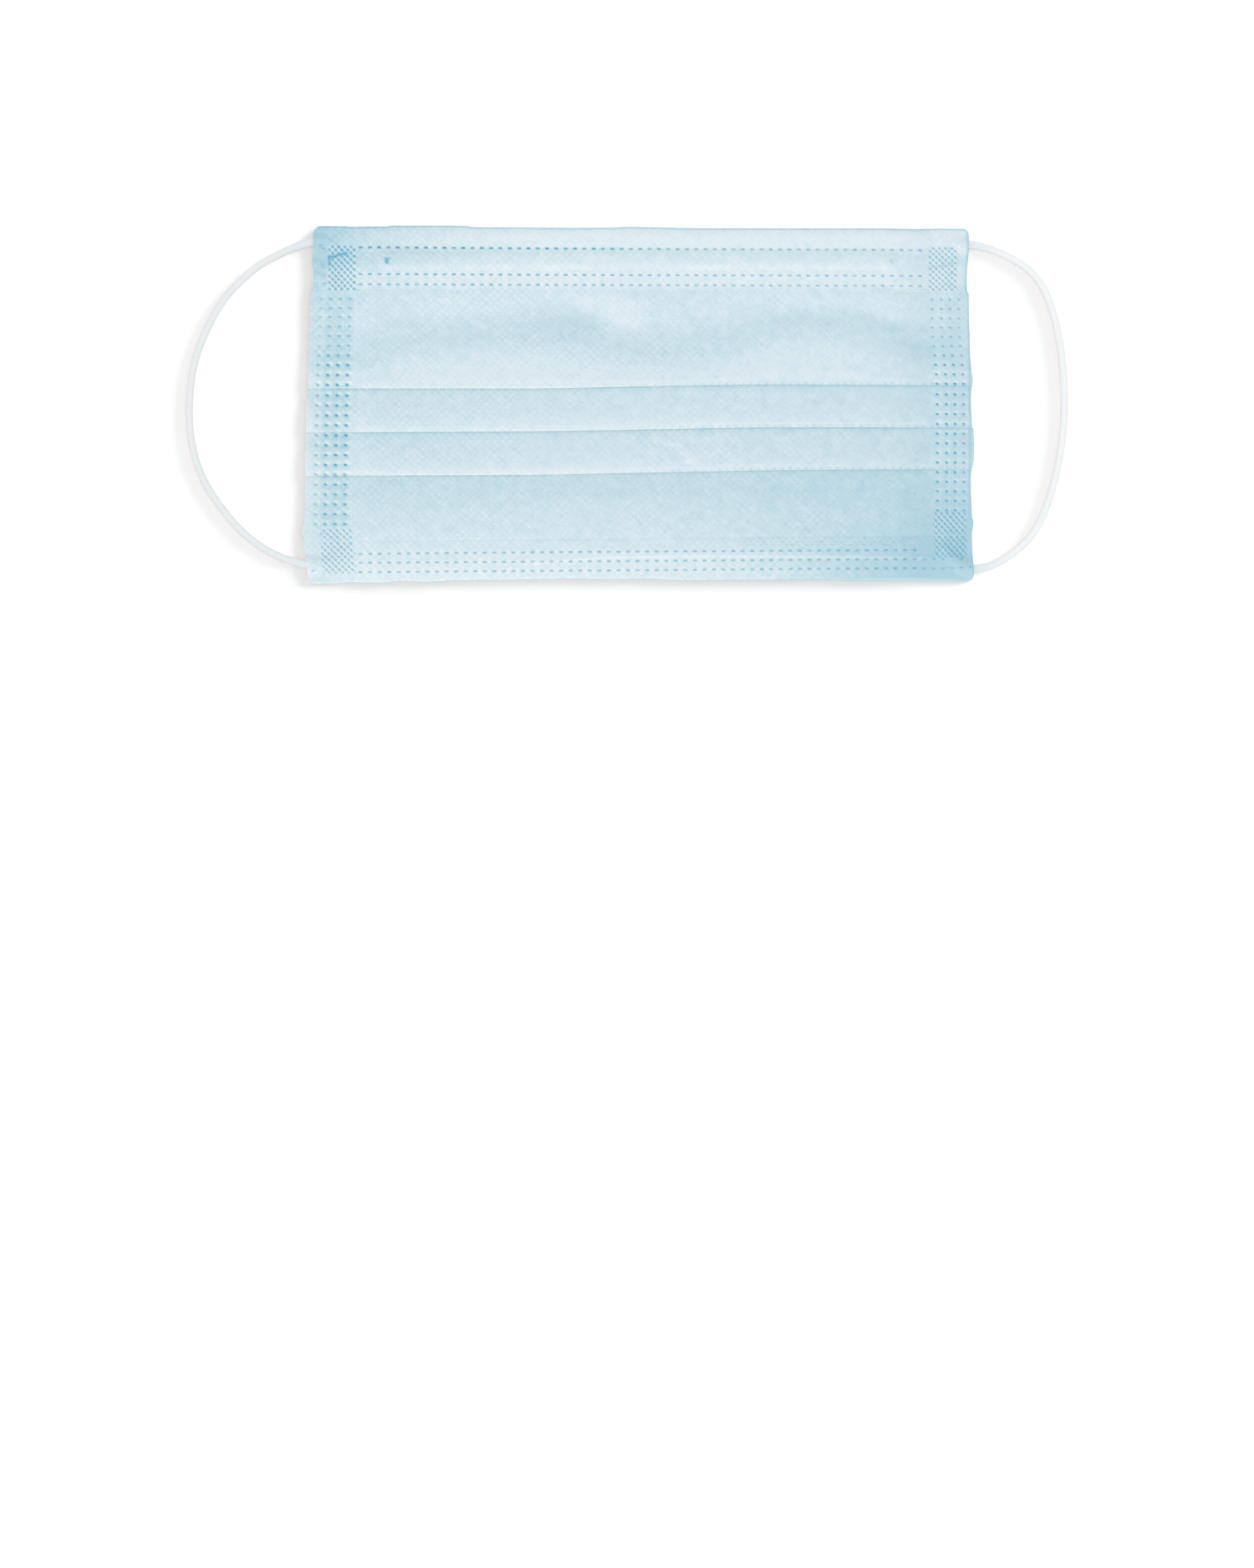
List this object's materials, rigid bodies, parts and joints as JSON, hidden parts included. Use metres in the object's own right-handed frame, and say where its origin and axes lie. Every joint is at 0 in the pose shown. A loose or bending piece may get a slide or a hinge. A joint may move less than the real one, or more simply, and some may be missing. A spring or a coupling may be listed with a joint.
{
  "type": "surgical face mask",
  "caption": "Flat pleated cloth face mask with a hem folded over a nose wire, a chin hem, welded side margins and round elastic ear loops.",
  "frame": {"origin": "middle of the cloth body without its ear loops, on the surface that the mask lies on", "axes": "+X to the right as the outer face is seen, +Y towards the nose edge, +Z out of the outer face"},
  "size_m": [0.2336, 0.0946, 0.0045],
  "materials": {
    "nonwoven_cloth": "matte",
    "nose_wire": "satin",
    "elastic": "matte"
  },
  "bodies": {
    "root": {"pleated_panel": "nonwoven_cloth", "top_hem": "nonwoven_cloth", "bottom_hem": "nonwoven_cloth", "nose_wire": "nose_wire", "ear_loop_left": "elastic", "ear_loop_right": "elastic"}
  },
  "joints": []
}
